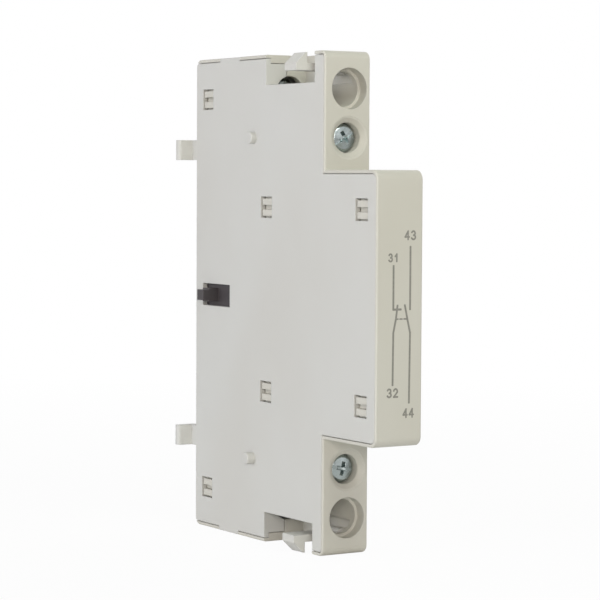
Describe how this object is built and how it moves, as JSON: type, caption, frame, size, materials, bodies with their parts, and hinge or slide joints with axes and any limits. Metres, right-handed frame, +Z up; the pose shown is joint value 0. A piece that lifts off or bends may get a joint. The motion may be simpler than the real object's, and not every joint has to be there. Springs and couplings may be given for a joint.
{
  "type": "auxiliary contact block",
  "caption": "Slim side-mounted auxiliary contact block with a stepped nose, recessed clamp terminals, sprung claws and a sliding actuator",
  "frame": {"origin": "on the flat mating side, midway between the two locating pegs", "axes": "+X through the width away from the mating side, -Y towards the nose, +Z up along the height"},
  "size_m": [0.0125, 0.0656, 0.089],
  "materials": {
    "housing_plastic": "fine matt moulded thermoplastic, warm light grey",
    "cover_plastic": "fine matt moulded thermoplastic, light grey",
    "latch_plastic": "smooth off-white moulded plastic",
    "black_plastic": "matt black moulded plastic",
    "screw_zinc": "bluish bright zinc plating",
    "clamp_steel": "zinc plated pressed steel",
    "pin_steel": "drawn steel wire",
    "spring_steel": "bright spring wire",
    "contact_brass": "rolled brass strip",
    "contact_silver": "silver alloy contact rivet"
  },
  "bodies": {
    "base": {"housing": "housing_plastic", "side_cover": "cover_plastic", "return_spring": "spring_steel", "terminal_strip_31": "contact_brass", "terminal_strip_32": "contact_brass", "terminal_strip_43": "contact_brass", "terminal_strip_44": "contact_brass", "contact_tip_31": "contact_silver", "contact_tip_32": "contact_silver", "contact_tip_43": "contact_silver", "contact_tip_44": "contact_silver", "latch_pin_top": "pin_steel", "latch_pin_bottom": "pin_steel", "latch_spring_top": "spring_steel", "latch_spring_bottom": "spring_steel"},
    "carrier": {"contact_carrier": "black_plastic", "contact_spring_break": "spring_steel", "contact_spring_make": "spring_steel"},
    "break_bridge": {"contact_bridge_break": "contact_brass", "bridge_tips_break": "contact_silver"},
    "make_bridge": {"contact_bridge_make": "contact_brass", "bridge_tips_make": "contact_silver"},
    "latch_top": {"latch_top": "latch_plastic"},
    "latch_bottom": {"latch_bottom": "latch_plastic"},
    "clamp_31": {"clamp_plate_31": "clamp_steel"},
    "screw_31": {"terminal_screw_31": "screw_zinc"},
    "clamp_32": {"clamp_plate_32": "clamp_steel"},
    "screw_32": {"terminal_screw_32": "screw_zinc"},
    "clamp_43": {"clamp_plate_43": "clamp_steel"},
    "screw_43": {"terminal_screw_43": "screw_zinc"},
    "clamp_44": {"clamp_plate_44": "clamp_steel"},
    "screw_44": {"terminal_screw_44": "screw_zinc"}
  },
  "joints": [
    {"name": "carrier_slide", "type": "slide", "parent": "base", "child": "carrier", "axis": [0, -1, 0], "range_m": [0, 0.004], "stiffness_N_per_m": 200, "springref_m": -0.002, "deforming": ["return_spring"]},
    {"name": "break_bridge_slide", "type": "slide", "parent": "base", "child": "break_bridge", "axis": [0, -1, 0], "range_m": [0, 0.003], "deforming": ["contact_spring_break"]},
    {"name": "make_bridge_slide", "type": "slide", "parent": "base", "child": "make_bridge", "axis": [0, -1, 0], "range_m": [0, 0.003], "deforming": ["contact_spring_make"]},
    {"name": "clamp_31_slide", "type": "slide", "parent": "base", "child": "clamp_31", "axis": [0, 1, 0], "range_m": [0, 0.002]},
    {"name": "screw_31_turn", "type": "hinge", "parent": "clamp_31", "child": "screw_31", "pos_m": [0.0051, -0.023, 0.0293], "axis": [0, 1, 0], "range_deg": [0, 1440]},
    {"name": "clamp_32_slide", "type": "slide", "parent": "base", "child": "clamp_32", "axis": [0, 1, 0], "range_m": [0, 0.002]},
    {"name": "screw_32_turn", "type": "hinge", "parent": "clamp_32", "child": "screw_32", "pos_m": [0.0051, -0.023, -0.0293], "axis": [0, 1, 0], "range_deg": [0, 1440]},
    {"name": "clamp_43_slide", "type": "slide", "parent": "base", "child": "clamp_43", "axis": [0, 1, 0], "range_m": [0, 0.002]},
    {"name": "screw_43_turn", "type": "hinge", "parent": "clamp_43", "child": "screw_43", "pos_m": [0.0051, -0.0026, 0.0379], "axis": [0, 1, 0], "range_deg": [0, 1440]},
    {"name": "clamp_44_slide", "type": "slide", "parent": "base", "child": "clamp_44", "axis": [0, 1, 0], "range_m": [0, 0.002]},
    {"name": "screw_44_turn", "type": "hinge", "parent": "clamp_44", "child": "screw_44", "pos_m": [0.0051, -0.0026, -0.0379], "axis": [0, 1, 0], "range_deg": [0, 1440]},
    {"name": "latch_top_swing", "type": "hinge", "parent": "base", "child": "latch_top", "pos_m": [0.0071, -0.0177, 0.04175], "axis": [0, -1, 0], "range_deg": [0, 11], "stiffness_Nm_per_rad": 0.01, "springref_deg": -20.05, "deforming": ["latch_spring_top"]},
    {"name": "latch_bottom_swing", "type": "hinge", "parent": "base", "child": "latch_bottom", "pos_m": [0.0071, -0.0177, -0.04175], "axis": [0, 1, 0], "range_deg": [0, 11], "stiffness_Nm_per_rad": 0.01, "springref_deg": -20.05, "deforming": ["latch_spring_bottom"]}
  ],
  "couplings": [
    {"joint": "break_bridge_slide", "follows": "carrier_slide", "ratio": 0.75},
    {"joint": "make_bridge_slide", "follows": "carrier_slide", "ratio": 0.75},
    {"joint": "screw_31_turn", "follows": "clamp_31_slide", "rad_per_m": 12566},
    {"joint": "screw_32_turn", "follows": "clamp_32_slide", "rad_per_m": 12566},
    {"joint": "screw_43_turn", "follows": "clamp_43_slide", "rad_per_m": 12566},
    {"joint": "screw_44_turn", "follows": "clamp_44_slide", "rad_per_m": 12566}
  ]
}
